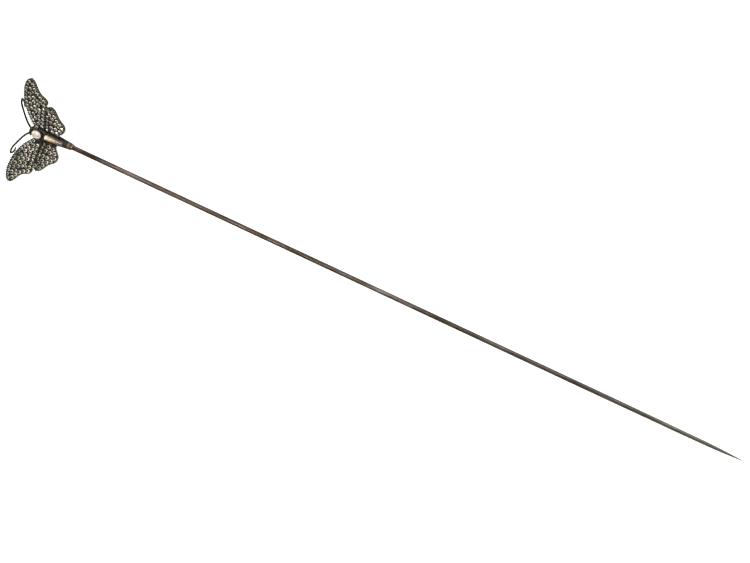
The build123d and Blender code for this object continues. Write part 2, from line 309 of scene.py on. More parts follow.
def dark_metal(name, patches, tarnish, deep, bare):
    """Blackened silver: deep tarnish in the hollows of the grain, bare metal on worn edges and patches."""
    material, tree, shader, place = start_material(name)
    worn = put(tree, "ShaderNodeAttribute", attribute_name="wear").outputs["Fac"]
    aged = age(tree, place, patches, 7000.0, worn)
    pits = between(tree, aged["Grain"], 0.0, 1.0, 0.4, 0.62)
    skin_colour = blend(tree, pits, deep, tarnish)
    tree.links.new(blend(tree, aged["Bare"], skin_colour, bare), shader.inputs["Base Color"])
    dull = between(tree, aged["Bare"], 0.48, 0.28)
    tree.links.new(dull, shader.inputs["Roughness"])
    shader.inputs["Metallic"].default_value = 0.9
    bumps = put(tree, "ShaderNodeBump", {"Height": aged["Grain"], "Strength": 0.35, "Distance": 0.03 * MM})
    tree.links.new(bumps.outputs["Normal"], shader.inputs["Normal"])
    return material


body_silver = dark_metal("dark_body_silver", 900.0, tint(33, 33, 24), tint(13, 13, 9), tint(118, 108, 92))
# The ferrule's bright pinkish bare colour is partly real wear and partly a painted highlight.
ferrule_silver = dark_metal(
    "ferrule_silver_worn_and_painted_bright", 1300.0, tint(34, 30, 23), tint(14, 12, 9), tint(186, 158, 134),
)
ferrule_low, ferrule_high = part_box("tail_ferrule")
ferrule_radius = ferrule_high.z
mouth_radius = wire_radius + 0.135 * MM
mouth_flare = 0.04 * MM
solder_lap = 0.02 * MM
ferrule_outline = soft_corners([
    (ferrule_low.x - solder_lap, 0.6 * ferrule_radius),
    (ferrule_low.x - solder_lap, ferrule_radius),
    (-0.8 * MM, ferrule_radius),
    (-0.32 * MM, mouth_radius + mouth_flare),
    (0, mouth_radius),
    (0, 0.97 * wire_radius),
], 0.07 * MM, 6)
ferrule = skin("tail_ferrule_turned", turned_rings(ferrule_outline[:, 0], ferrule_outline[:, 1], 64))
mark_wear(ferrule, 0.1 * MM)
fit_out(ferrule, ferrule_silver, "dark_silver", "tail_ferrule")


# ---- Abdomen
# A silver sheath, nearly square at the thorax and round at the ferrule, with sloping shoulders. Its
# back is opened for the long stone, and a thin lip of the same metal is pushed over the stone's edge.
def round_cornered(half_width, half_height, corner, arc_steps, side_steps):
    """Round-cornered rectangles, one for each row of the sizes, anticlockwise from the +y side.

    A point is (cy (w - r) + r cos t, cz (h - r) + r sin t). On a corner (cy, cz) is one of (1, 1),
    (-1, 1), (-1, -1), (1, -1) while t turns by a quarter; on a side t stays and (cy, cz) slides on.
    """
    turn, corner_y, corner_z = [], [], []
    signs = [(1, 1), (-1, 1), (-1, -1), (1, -1), (1, 1)]
    for quarter in range(4):
        arc = (quarter + np.linspace(0, 1, arc_steps)) * np.pi / 2
        slide = np.linspace(0, 1, side_steps + 2)[1:-1]
        turn += [arc, np.full(side_steps, arc[-1])]
        for kept, axis in ((corner_y, 0), (corner_z, 1)):
            here, there = signs[quarter][axis], signs[quarter + 1][axis]
            kept += [np.full(arc_steps, here), here + (there - here) * slide]
    turn, corner_y, corner_z = (np.concatenate(part)[None] for part in (turn, corner_y, corner_z))
    across = corner_y * (half_width - corner)[:, None] + corner[:, None] * np.cos(turn)
    up = corner_z * (half_height - corner)[:, None] + corner[:, None] * np.sin(turn)
    return across, up


sheath_low, sheath_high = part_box("abdomen_sheath")
stone_low, stone_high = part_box("abdomen_cabochon")
body_half = sheath_high.y
body_floor = sheath_low.z
sheath_top = 1.5 * MM
front_corner = 0.74 * MM
# The stone's ends, each as its X, its axis's height and its radius.
stone_front = (stone_low.x, 1.49 * MM, 0.63 * MM)
stone_tail = (stone_high.x, 0.9 * MM, 0.38 * MM)
end_length_share = 0.75
lip_width = 0.16 * MM
lip_height = 0.12 * MM
bed_depth = 0.5 * MM


def stone_edge_distance(x, y):
    """How far (x, y) lies outside the long stone's plan, a tapered bar with blunt ends: the distance
    (|x - x0|^3 + |y|^3)^(1/3) to its middle line, shortened along it, less the half-width there."""
    front = stone_front[0] + stone_front[2] * end_length_share
    tail = stone_tail[0] - stone_tail[2] * end_length_share
    share = np.clip((x - front) / (tail - front), 0, 1)
    nearest = front + share * (tail - front)
    half_width = stone_front[2] + share * (stone_tail[2] - stone_front[2])
    flat = ((np.abs(x - nearest) / end_length_share) ** 3 + np.abs(y) ** 3) ** (1 / 3)
    return flat - half_width


def sheath_rings():
    """The sheath's sections along X, from a round-cornered square to a circle, with the lip round the
    long stone raised as h exp(-(d / w)^2) and the bed inside it sunk, d being the distance outside
    the stone's edge."""
    share = np.concatenate([[0.0, 0.004], np.linspace(0.012, 0.988, 170), [0.996, 1.0]])
    ease = 1 - 0.03 * np.exp(-share / 0.008) - 0.03 * np.exp(-(1 - share) / 0.008)
    x = sheath_low.x + share * (sheath_high.x - sheath_low.x)
    tail_half = ferrule_radius
    half_width = (body_half + share * (tail_half - body_half)) * ease
    half_height = ((sheath_top - body_floor) / 2 * (1 - share) + tail_half * share) * ease
    middle = (sheath_top + body_floor) / 2 * (1 - share)
    corner = (front_corner + share * (0.97 * tail_half - front_corner)) * ease
    across, up = round_cornered(half_width, half_height, corner, 14, 26)
    distance = stone_edge_distance(x[:, None], across)
    on_back = np.clip(up / half_height[:, None] * 3 - 1.2, 0, 1)
    lip = lip_height * np.exp(-((distance - 0.5 * lip_width) / (0.6 * lip_width)) ** 2)
    bed = bed_depth * np.clip(-distance / (0.15 * MM), 0, 1)
    up = up + on_back * (lip - bed)
    return np.stack([np.broadcast_to(x[:, None], across.shape), across, up + middle[:, None]], -1)


sheath = skin("abdomen_sheath_with_lip", sheath_rings())
mark_wear(sheath, 0.1 * MM)
fit_out(sheath, body_silver, "dark_silver", "abdomen_sheath")


# ---- Long stone
# A bar of banded stone, cut to a rounded back and polished, cream at the thorax and darkening to
# brown at the tail. The old hand polish has left it gently waved across.
polish_end = 0.34 * MM
polish_wave = 0.022
polish_waves = 4.2


def long_stone_rings():
    """Round sections along the stone's falling axis. The radius is the straight taper, closed at the
    ends by (1 - u^3)^(1/3), and waved by 1 + polish_wave sin(2 pi polish_waves s) between them."""
    s = np.sin(np.linspace(-np.pi / 2, np.pi / 2, 120)) / 2 + 0.5
    x = stone_front[0] + s * (stone_tail[0] - stone_front[0])
    middle = stone_front[1] + s * (stone_tail[1] - stone_front[1])
    taper = stone_front[2] + s * (stone_tail[2] - stone_front[2])
    u = np.clip(1 - np.minimum(x - stone_front[0], stone_tail[0] - x) / polish_end, 0, 1)
    closed = np.maximum(1 - u ** 3, 1e-4) ** (1 / 3)
    wave = 1 + polish_wave * np.sin(s * 2 * np.pi * polish_waves + 0.6) * (1 - u)
    radius = taper * closed * wave
    angle = np.arange(64) * 2 * np.pi / 64
    across = radius[:, None] * np.cos(angle)
    up = radius[:, None] * np.sin(angle)
    return np.stack([np.broadcast_to(x[:, None], across.shape), across, middle[:, None] + up], -1)


long_stone = skin("long_stone_polished", long_stone_rings())
banded, tree, shader, place = start_material("banded_long_stone")
apart = put(tree, "ShaderNodeSeparateXYZ", {"Vector": place}).outputs
wander = put(tree, "ShaderNodeTexNoise", {"Vector": place, "Scale": 900.0, "Detail": 4.0}).outputs["Fac"]
run = between(tree, apart["X"], 0.0, 1.0, stone_low.x, stone_high.x)
drift = between(tree, wander, -0.09, 0.09, 0.3, 0.7)
shifted = put(tree, "ShaderNodeMath", {0: run, 1: drift}, operation="ADD").outputs[0]
bands = ramp(tree, shifted, [
    (0.02, tint(238, 228, 204)), (0.18, tint(212, 196, 160)), (0.36, tint(180, 158, 118)),
    (0.54, tint(146, 118, 80)), (0.72, tint(104, 78, 54)), (0.86, tint(66, 48, 36)), (1.0, tint(40, 34, 28)),
])
fleck_noise = {"Vector": place, "Scale": 3200.0, "Detail": 5.0, "Roughness": 0.7}
flecks = put(tree, "ShaderNodeTexNoise", fleck_noise).outputs["Fac"]
flecked = blend(tree, between(tree, flecks, 0.0, 0.4, 0.52, 0.72), bands, tint(112, 92, 70))
tree.links.new(flecked, shader.inputs["Base Color"])
tree.links.new(between(tree, flecks, 0.16, 0.3, 0.4, 0.7), shader.inputs["Roughness"])
shader.inputs["Subsurface Weight"].default_value = 0.1
shader.inputs["Subsurface Radius"].default_value = (1.0, 0.9, 0.7)
shader.inputs["Subsurface Scale"].default_value = 0.4 * MM
shader.inputs["Coat Weight"].default_value = 0.7
shader.inputs["Coat IOR"].default_value = 1.6
shader.inputs["Coat Roughness"].default_value = 0.1
fit_out(long_stone, banded, "long_stone", "abdomen_cabochon")


# ---- Thorax
# A filed silver block with its front corners and lower edges cut away. The collet, the head and the
# forewings are soldered to it.
block_low, block_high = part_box("thorax_block")
block_cut = 0.5 * MM


def block_rings():
    """Sections of the block along X: a rectangle with cut lower corners and softened edges, narrowed
    by the front cut and drawn in a little at both ends."""
    x = np.array([0, 0.02, 0.06, 0.5, 0.56, 3.1, 3.16, 3.2]) * MM + block_low.x
    inset = np.array([0.56, 0.52, 0.44, 0.04, 0.0, 0.0, 0.02, 0.06]) * MM
    rise = np.array([0.06, 0.02, 0.0, 0.0, 0.0, 0.0, 0.02, 0.06]) * MM
    half, floor, top = block_high.y, block_low.z, block_high.z
    section = soft_corners([
        (0, top), (-half, top), (-half, floor + block_cut), (-half + block_cut, floor),
        (half - block_cut, floor), (half, floor + block_cut), (half, top), (0, top),
    ], 0.09 * MM, 7)[:-1]
    middle = (floor + top) / 2
    narrow = 1 - inset / half
    flatten = 1 - rise / (top - middle)
    across = section[None, :, 0] * narrow[:, None]
    up = middle + (section[None, :, 1] - middle) * flatten[:, None]
    return np.stack([np.broadcast_to(x[:, None], across.shape), across, up], -1)


thorax = skin("thorax_block_filed", block_rings())
mark_wear(thorax, 0.14 * MM)
fit_out(thorax, body_silver, "dark_silver", "thorax_block")


# ---- Collet
# An oval silver cup, raised from strip and soldered on the thorax. Its rim is burnished over the
# stone, which has drawn its sides in a little, and a row of nicks from the burnisher runs round it.
collet_low, collet_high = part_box("thorax_collet")
collet_centre = (collet_low.x + collet_high.x) / 2
oval_narrowing = 0.94
collet_half = ((collet_high.x - collet_low.x) / 2, oval_narrowing * collet_high.y)
nicks = 34
nick_depth = 0.035 * MM


def oval_rings(outline, half_length, half_width, turns):
    """Ovals stacked by an outline of (inset, height, nicked): ring i, point j is ((a - inset) cos t_j,
    (b - inset) sin t_j), where inset is inset_i + nick_depth nicked_i (0.5 + 0.5 cos(nicks t_j))."""
    angle = np.arange(turns) * 2 * np.pi / turns
    inset, height, nicked = np.array(outline).T[:, :, None]
    inset = inset + nick_depth * nicked * (0.5 + 0.5 * np.cos(nicks * angle))
    x = collet_centre + (half_length - inset) * np.cos(angle)
    y = (half_width - inset) * np.sin(angle)
    return np.stack([x, y, np.broadcast_to(height, x.shape)], -1)


rim = collet_high.z
cup_foot = block_high.z - solder_lap
cup_floor = block_high.z + 0.3 * MM
collet_outline = soft_corners([
    (0.3 * MM, cup_foot), (0, cup_foot), (0.03 * MM, rim - 0.12 * MM), (0.1 * MM, rim + 0.03 * MM),
    (0.26 * MM, rim - 0.03 * MM), (0.24 * MM, cup_floor), (0.9 * MM, cup_floor),
], 0.05 * MM, 6)
nicked = np.exp(-((collet_outline[:, 1] - rim) / (0.13 * MM)) ** 2) * (collet_outline[:, 0] < 0.2 * MM)
collet_outline = np.column_stack([collet_outline, nicked])
collet = skin("thorax_collet_rubbed", oval_rings(collet_outline, *collet_half, 6 * nicks))
mark_wear(collet, 0.07 * MM)
fit_out(collet, body_silver, "dark_silver", "thorax_collet")


# ---- Oval stone
# A milky white cabochon, slightly pink and clouded inside, with a high polish.
oval_low, oval_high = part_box("thorax_cabochon")
dome_start = oval_low.z + 0.35 * MM


def dome_rings():
    """Ovals narrowed by the same share in length and in width: a foot and a girdle up to dome_start,
    then a dome, whose inset is a (1 - cos^0.8 v) while its height rises as sin v."""
    lift = np.linspace(0, np.pi / 2, 40)[:-1]
    inset = np.concatenate([(0.1 * MM, 0), (1 - np.cos(lift) ** 0.8) * 0.985 * oval_high.y])[:, None]
    dome = dome_start + (oval_high.z - dome_start) * np.sin(lift)
    height = np.concatenate([(oval_low.z, oval_low.z + 0.08 * MM), dome])[:, None]
    angle = np.arange(128) * 2 * np.pi / 128
    half_length = (oval_high.x - oval_low.x) / 2
    share = 1 - inset / oval_high.y
    x = collet_centre + half_length * share * np.cos(angle)
    y = oval_narrowing * oval_high.y * share * np.sin(angle)
    return np.stack([x, y, np.broadcast_to(height, x.shape)], -1)


oval_stone = skin("oval_stone_polished", dome_rings())
milky, tree, shader, place = start_material("milky_oval_stone")
cloud_noise = {"Vector": place, "Scale": 700.0, "Detail": 5.0, "Roughness": 0.6, "Distortion": 0.6}
clouds = put(tree, "ShaderNodeTexNoise", cloud_noise).outputs["Fac"]
milk = ramp(tree, clouds, [
    (0.3, tint(126, 118, 104)), (0.44, tint(186, 178, 164)), (0.58, tint(214, 206, 194)),
    (0.75, tint(150, 141, 127)),
])
vein_noise = {"Vector": place, "Scale": 2400.0, "Detail": 6.0, "Roughness": 0.7}
veins = put(tree, "ShaderNodeTexNoise", vein_noise).outputs["Fac"]
veined = blend(tree, between(tree, veins, 0.0, 0.5, 0.52, 0.68), milk, tint(112, 102, 88))
tree.links.new(veined, shader.inputs["Base Color"])
tree.links.new(between(tree, veins, 0.1, 0.24, 0.4, 0.7), shader.inputs["Roughness"])
shader.inputs["Subsurface Weight"].default_value = 0.12
shader.inputs["Subsurface Radius"].default_value = (1.0, 0.95, 0.85)
shader.inputs["Subsurface Scale"].default_value = 0.6 * MM
shader.inputs["Coat Weight"].default_value = 1.0
shader.inputs["Coat IOR"].default_value = 1.8
shader.inputs["Coat Roughness"].default_value = 0.05
fit_out(oval_stone, milky, "oval_stone", "thorax_cabochon")


# ---- Head and eyes
# A rounded silver block soldered to the front of the thorax, with a small bead let into each side
# for an eye.
def cushion_rings(centre, half, squareness, stack, turns):
    """A rounded block: ring i, point j is centre + half * (S(cos u) S(cos t), S(cos u) S(sin t), S(sin u)),
    where S(v) = sign(v) |v|^squareness, u climbs from one pole to the other and t turns round."""
    climb = np.linspace(-np.pi / 2, np.pi / 2, stack + 2)[1:-1, None]
    turn = np.arange(turns) * 2 * np.pi / turns

    def squared(value):
        return np.sign(value) * np.abs(value) ** squareness

    x = squared(np.cos(climb)) * squared(np.cos(turn))
    y = squared(np.cos(climb)) * squared(np.sin(turn))
    z = squared(np.sin(climb)) + 0 * x
    return np.array(centre) + np.array(half) * np.stack([x, y, z], -1)


head_low, head_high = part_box("head")
head_joint = 0.12 * MM
head_centre = ((head_low.x + head_high.x + head_joint) / 2, 0, (head_low.z + head_high.z) / 2)
head_half = ((head_high.x - head_low.x + head_joint) / 2, head_high.y, (head_high.z - head_low.z) / 2)
head = skin("head_rounded", cushion_rings(head_centre, head_half, 0.42, 60, 96))
mark_wear(head, 0.16 * MM)
fit_out(head, body_silver, "dark_silver", "head")

for side in ("left", "right"):
    eye_low, eye_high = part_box(f"eye_{side}")
    eye_centre = (eye_low + eye_high) / 2
    eye_half = (eye_high - eye_low) / 2
    eye = skin(f"eye_bead_{side}", cushion_rings(eye_centre, eye_half, 1.0, 18, 28))
    mark_wear(eye, 0.1 * MM)
    fit_out(eye, body_silver, "dark_silver", f"eye_{side}")


# ---- Antennae
# Silver wires let into the head, bowed out sideways and crooked back at the end to a fine tip. They
# are drawn a little thinner on the way there.
def smooth_line(corners, count):
    """Natural cubic spline through the corners, at count even steps of the distance along them.

    In each stretch of length h, with bends m0 and m1 at its ends and a = 1 - b, the place is
    a p0 + b p1 + h^2 ((a^3 - a) m0 + (b^3 - b) m1) / 6. The bends make the slopes meet.
    """
    corners = np.array(corners, float)
    length = np.linalg.norm(np.diff(corners, axis=0), axis=1)
    knot = np.concatenate([[0], np.cumsum(length)])
    slope = np.diff(corners, axis=0) / length[:, None]
    size = len(corners)
    system = np.eye(size)
    inner = np.arange(1, size - 1)
    system[inner, inner - 1] = length[:-1]
    system[inner, inner] = 2 * (length[:-1] + length[1:])
    system[inner, inner + 1] = length[1:]
    wanted = np.zeros_like(corners)
    wanted[1:-1] = 6 * np.diff(slope, axis=0)
    bend = np.linalg.solve(system, wanted)
    at = np.linspace(0, knot[-1], count)
    stretch = np.clip(np.searchsorted(knot, at, side="right") - 1, 0, size - 2)
    b = ((at - knot[stretch]) / length[stretch])[:, None]
    a = 1 - b
    pull = (a ** 3 - a) * bend[stretch] + (b ** 3 - b) * bend[stretch + 1]
    return a * corners[stretch] + b * corners[stretch + 1] + length[stretch][:, None] ** 2 * pull / 6


def wire_rings(path, radius, turns):
    """Rings round a path: ring i, point j is p_i + r_i (o_i cos t_j + s_i sin t_j), where s_i and o_i
    stand square to the path's direction at p_i, s_i level and o_i over it."""
    ahead = np.gradient(path, axis=0)
    ahead /= np.linalg.norm(ahead, axis=1)[:, None]
    level = np.cross(ahead, (0, 0, 1))
    level /= np.linalg.norm(level, axis=1)[:, None]
    over = np.cross(level, ahead)
    angle = (np.arange(turns) * 2 * np.pi / turns)[None, :, None]
    around = over[:, None] * np.cos(angle) + level[:, None] * np.sin(angle)
    return path[:, None] + radius[:, None, None] * around


antenna_root = np.array((head_low.x + 0.425 * MM, 0.45 * MM, head_high.z - 0.55 * MM))
antenna_reach = np.array((-3.4, 7.0, 1.4)) * MM
antenna_tip_length = 0.7 * MM
antenna_course = [
    (0, 0), (0.2, 0.09), (0.56, 0.35), (0.87, 0.67), (1, 0.9), (0.95, 1), (0.83, 0.95), (0.72, 0.78),
]
antenna_corners = [antenna_root + antenna_reach * (out, wide, wide) for out, wide in antenna_course]
antenna_line = smooth_line(antenna_corners, 150)
tip_way = antenna_line[-1] - antenna_line[-2]
tip_run = tip_way / np.linalg.norm(tip_way) * antenna_tip_length
antenna_tip = antenna_line[-1] + np.linspace(0.05, 1, 14)[:, None] * tip_run
antenna_path = np.concatenate([antenna_line, antenna_tip])
share = np.linspace(0, 1, len(antenna_path))
pointed = np.clip((1.004 - share) / 0.13, 0, 1) ** 0.5
antenna_radius = (0.27 - 0.05 * share) * MM * pointed
wire_silver = dark_metal("dark_wire_silver", 1500.0, tint(34, 31, 24), tint(15, 14, 10), tint(118, 108, 92))
for side, sign in (("right", 1), ("left", -1)):
    rings = wire_rings(antenna_path, antenna_radius, 20) * (1, sign, 1)
    antenna = skin(f"antenna_wire_{side}", rings[:, ::sign])
    mark_wear(antenna, 0.03 * MM)
    fit_out(antenna, wire_silver, "dark_silver", f"antenna_{side}")


# ---- Wings
# Four silver plates, drilled with a seat for each stone and soldered to the body, in the packed
# model's own shape. Small grains of their metal are raised between the stones to hold them. The
# edges are cut into a row of claws, which is finer where a forewing and a hindwing meet.
wing_silver = dark_metal("dark_wing_silver", 1200.0, tint(33, 34, 26), tint(13, 14, 10), tint(108, 104, 88))
# The claws' tarnish is painted lighter than the plates', a painted highlight along the wing edges; the bare
# colour on their worn tips is real wear.
claw_silver = dark_metal(
    "claw_silver_worn_and_painted_bright", 1600.0, tint(66, 62, 50), tint(27, 26, 19), tint(196, 188, 169),
)
forewing_lean = math.radians(13)
hindwing_lean = math.radians(18)
wing_leans = {"forewing": forewing_lean, "hindwing": hindwing_lean}
crown_share = 0.46
split_x = sheath_low.x - 0.25 * MM
split_reach = 0.2 * MM
level_slack = 0.002 * MM
seat_margin = 0.05 * MM
grain_grid = 0.055 * MM
grain_edge_margin = 0.1 * MM
grain_least_room = 0.06 * MM
grain_overlap = 0.045 * MM
grain_largest = 0.17 * MM
fine_pitch = 0.12 * MM
claw_pitch = 0.56 * MM
claw_size = 0.19 * MM
split_claw_size = 0.13 * MM
claw_overhang = 0.03 * MM
bare_root = 0.3 * MM


def merged(node):
    """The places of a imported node's points, with equal ones made one, and its triangles."""
    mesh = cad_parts[node].data
    place = np.empty(len(mesh.vertices) * 3)
    corner = np.empty(len(mesh.loops), np.int32)
    mesh.vertices.foreach_get("co", place)
    mesh.loops.foreach_get("vertex_index", corner)
    points, which = np.unique(np.round(place.reshape(-1, 3), 7), axis=0, return_inverse=True)
    return points, which.ravel()[corner].reshape(-1, 3)


def wing_axes(lean):
    """The right wing's own axes as rows: along the body, out along the wing, and off its face."""
    return np.array([(1, 0, 0), (0, math.cos(lean), math.sin(lean)), (0, -math.sin(lean), math.cos(lean))])


def find_stones(node, lean):
    """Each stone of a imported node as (x, out, radius), and the height of the wing's face.

    Points joined by triangles take the lowest number among them until nothing changes, so each
    stone ends with one number, and its box in the wing's axes gives its middle and its radius.
    """
    points, triangles = merged(node)
    local = points @ wing_axes(lean).T
    label = np.arange(len(points))
    links = np.concatenate([triangles[:, [0, 1]], triangles[:, [1, 2]], triangles[:, [2, 0]]])
    before = np.zeros_like(label)
    while not np.array_equal(label, before):
        before = label.copy()
        lowest = label[links].min(1)
        np.minimum.at(label, links[:, 0], lowest)
        np.minimum.at(label, links[:, 1], lowest)
    names, which = np.unique(label, return_inverse=True)
    low = np.full((len(names), 3), 1.0)
    high = np.full((len(names), 3), -1.0)
    np.minimum.at(low, which, local)
    np.maximum.at(high, which, local)
    radius = (high[:, 0] - low[:, 0]) / 2
    face = np.median(high[:, 2] - crown_share * radius)
    return np.column_stack([(low + high)[:, :2] / 2, radius]), face


def free_edge(node, lean, stones, pitch):
    """Even steps along the plate's outline, as points (x, out) and their outward directions.

    The outline is where one triangle alone of the top face ends, leaving out the seats. Its points
    are put in order by their angle round the wing's middle.
    """
    points, triangles = merged(node)
    local = points @ wing_axes(lean).T
    face = local[:, 2].max()
    top = triangles[(local[triangles, 2] > face - level_slack).all(1)]
    links = np.sort(np.concatenate([top[:, [0, 1]], top[:, [1, 2]], top[:, [2, 0]]]), 1)
    links, uses = np.unique(links, axis=0, return_counts=True)
    ends = local[np.unique(links[uses == 1])][:, :2]
    gap = np.linalg.norm(ends[:, None] - stones[None, :, :2], axis=2) - stones[None, :, 2]
    ends = ends[gap.min(1) > seat_margin]
    spokes = ends - stones[:, :2].mean(0)
    ends = ends[np.argsort(np.arctan2(spokes[:, 1], spokes[:, 0]))]
    ends = np.concatenate([ends, ends[:1]])
    run = np.concatenate([[0], np.cumsum(np.linalg.norm(np.diff(ends, axis=0), axis=1))])
    at = np.linspace(0, run[-1], round(run[-1] / pitch), endpoint=False)
    line = np.column_stack([np.interp(at, run, ends[:, axis]) for axis in (0, 1)])
    way = np.roll(line, -1, 0) - np.roll(line, 1, 0)
    way /= np.linalg.norm(way, axis=1)[:, None]
    return line, np.column_stack([way[:, 1], -way[:, 0]])


def strewn(name, shape, spots, sizes, turns, axes, sign, smooth):
    """One mesh of many copies of a shape, its points, corners and counts, on a wing.

    Copy k of shape point p is at spot_k + size_k (p turned by turns_k about the wing's normal), in
    the wing's axes. The left wing takes the mirror image, with the corners of each face in the
    opposite order: in a face of n corners that ends before e, corner c takes 2 e - n - 1 - c.
    """
    form, corners, counts = shape
    cos, sin = np.cos(turns)[:, None], np.sin(turns)[:, None]
    x = form[None, :, 0] * cos - form[None, :, 1] * sin
    y = form[None, :, 0] * sin + form[None, :, 1] * cos
    copies = np.stack([x, y, np.broadcast_to(form[None, :, 2], x.shape)], -1)
    local = spots[:, None] + sizes[:, None, None] * copies
    points = (local.reshape(-1, 3) @ axes) * (1, sign, 1)
    if sign < 0:
        last = np.repeat(2 * np.cumsum(counts) - counts - 1, counts)
        corners = corners[last - np.arange(len(corners))]
    every = corners + np.arange(len(spots))[:, None] * len(form)
    return new_piece(name, points, every.ravel(), np.tile(counts, len(spots)), smooth)


def dome_shape(levels, sides):
    """A small turned shape: rings of (radius, height) closed at both ends by a flat face."""
    angle = np.arange(sides) * 2 * np.pi / sides
    radius, height = np.array(levels).T[:, :, None]
    rings = np.stack([radius * np.cos(angle), radius * np.sin(angle), height + 0 * angle], -1)
    here = np.arange(len(levels) * sides).reshape(-1, sides)
    after = np.roll(here, -1, 1)
    quads = np.stack([here[:-1], after[:-1], after[1:], here[1:]], -1).reshape(-1, 4)
    return rings.reshape(-1, 3), *in_turn(quads, here[:1, ::-1], here[-1:])


def grain_spots(stones, line, outward):
    """Where the metal between the stones is widest: points of a fine grid over the wing whose room,
    the least distance to a stone's edge or to the outline, is at least that of the eight points
    round them. Gives them as (x, out, room)."""
    low, high = line.min(0), line.max(0)
    counts = np.ceil((high - low) / grain_grid).astype(int)
    marks = [np.linspace(low[axis], high[axis], counts[axis]) for axis in (0, 1)]
    grid = np.stack(np.meshgrid(*marks, indexing="ij"), -1)
    to_stone = np.linalg.norm(grid[:, :, None] - stones[:, :2], axis=3) - stones[:, 2]
    to_line = grid[:, :, None] - line
    nearest = np.linalg.norm(to_line, axis=3).argmin(2)
    from_nearest = np.take_along_axis(to_line, nearest[:, :, None, None], 2)[:, :, 0]
    inward = -(from_nearest * outward[nearest]).sum(2)
    room = np.minimum(to_stone.min(2), inward - grain_edge_margin)
    inner = room[1:-1, 1:-1]
    shifts = [(a, b) for a in (0, 1, 2) for b in (0, 1, 2) if (a, b) != (1, 1)]
    beside = [room[a:a + inner.shape[0], b:b + inner.shape[1]] for a, b in shifts]
    peak = (inner >= np.max(beside, axis=0)) & (inner > grain_least_room)
    return np.column_stack([grid[1:-1, 1:-1][peak], inner[peak]])


grain_shape = dome_shape([(1.0, -0.5), (1.0, 0.1), (0.86, 0.5), (0.5, 0.83), (0.16, 0.93)], 8)
claw_shape = dome_shape([(0.62, -3.0), (0.9, -0.4), (1.0, 0.05), (0.8, 0.48), (0.36, 0.74)], 8)
for wing, lean in wing_leans.items():
    axes = wing_axes(lean)
    stones, face = find_stones(f"{wing}_stones_right", lean)
    grains = grain_spots(stones, *free_edge(f"{wing}_right", lean, stones, fine_pitch))
    grain_places = np.column_stack([grains[:, :2], np.full(len(grains), face)])
    grain_sizes = np.minimum(grains[:, 2] + grain_overlap, grain_largest)
    grain_turns = np.arange(len(grains)) * 0.7
    line, outward = free_edge(f"{wing}_right", lean, stones, claw_pitch)
    off_body = line[:, 1] > body_half / math.cos(lean) + bare_root
    line, outward = line[off_body], outward[off_body]
    claw_places = np.column_stack([line + claw_overhang * outward, np.full(len(line), face)])
    claw_sizes = np.where(np.abs(line[:, 0] - split_x) > split_reach, claw_size, split_claw_size)
    claw_turns = np.arange(len(line)) * 0.9
    for side, sign in (("right", 1), ("left", -1)):
        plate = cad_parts[f"{wing}_{side}"]
        plate.data.materials.clear()
        plate.data.materials.append(wing_silver)
        grain_spread = (grain_places, grain_sizes, grain_turns, axes, sign, True)
        piece = strewn(f"{wing}_grains_{side}", grain_shape, *grain_spread)
        mark_wear(piece, 0.02 * MM)
        fit_out(piece, wing_silver, "dark_silver")
        claw_spread = (claw_places, claw_sizes, claw_turns, axes, sign, True)
        piece = strewn(f"{wing}_claws_{side}", claw_shape, *claw_spread)
        mark_wear(piece, 0.05 * MM)
        fit_out(piece, claw_silver, "dark_silver")


# ---- Pave stones
# Old paste brilliants, cut with eight main facets and set over foil, each turned a little
# differently in its seat. How bright each facet looks is painted into its colour as painted reflections,
# bright in the crown and dark across the table. Some foils have dulled, and a few carry a faint pink or
# green cast.
def brilliant():
    """A stone of radius 1 with its girdle at height 0.

    Ring points lie at (r cos t, r sin t, h): the table's eight corners, eight crown points half a
    step from them, the girdle's eight corners above and below, and a middle point above and below.
    """
    levels = [(0.55, 0.42, 0.5), (0.79, 0.255, 0), (1.0, 0.0, 0.5), (1.0, -0.1, 0.5)]
    radius, height, steps_on = np.array(levels).T[:, :, None]
    angle = np.arange(8) * np.pi / 4 + steps_on * np.pi / 4
    rings = np.stack([radius * np.cos(angle), radius * np.sin(angle), height + 0 * angle], -1)
    points = np.concatenate([rings.reshape(-1, 3), [(0, 0, 0.42), (0, 0, -0.8)]])
    k = np.arange(8)
    before = (k - 1) % 8
    later = (k + 1) % 8
    table, crown, girdle, under = k, k + 8, k + 16, k + 24
    return points, *in_turn(
        np.stack([np.full(8, 32), table, later], -1),
        np.stack([table[before], crown, table], -1),
        np.stack([table, crown, girdle, crown[later]], -1),
        np.stack([crown, girdle[before], girdle], -1),
        np.stack([girdle, under, under[later], girdle[later]], -1),
        np.stack([under, np.full(8, 33), under[later]], -1),
    )


paste, tree, shader, place = start_material("paste_with_painted_glints")
bright = put(tree, "ShaderNodeAttribute", attribute_name="facet").outputs["Fac"]
cast = put(tree, "ShaderNodeAttribute", attribute_name="cast").outputs["Fac"]
# Painted reflections: each facet's painted brightness, from a dark table to bright crown glints, becomes its
# colour.
painted_facet_light_colour = ramp(tree, bright, [
    (0.0, tint(24, 22, 19)), (0.35, tint(78, 74, 67)), (0.6, tint(206, 201, 192)),
    (1.0, tint(255, 253, 248)),
])
cast_colour = ramp(tree, cast, [
    (0.0, tint(240, 243, 232)), (0.3, tint(250, 246, 236)), (0.7, tint(255, 252, 246)),
    (1.0, tint(250, 238, 232)),
])
both = {0: 1.0, 6: painted_facet_light_colour, 7: cast_colour}
tinted = put(tree, "ShaderNodeMix", both, data_type="RGBA", blend_type="MULTIPLY").outputs[2]
foil_noise = {"Vector": place, "Scale": 6000.0, "Detail": 3.0}
foil = put(tree, "ShaderNodeTexNoise", foil_noise).outputs["Fac"]
dulled = blend(tree, between(tree, foil, 0.0, 0.35, 0.55, 0.75), tinted, tint(96, 86, 70))
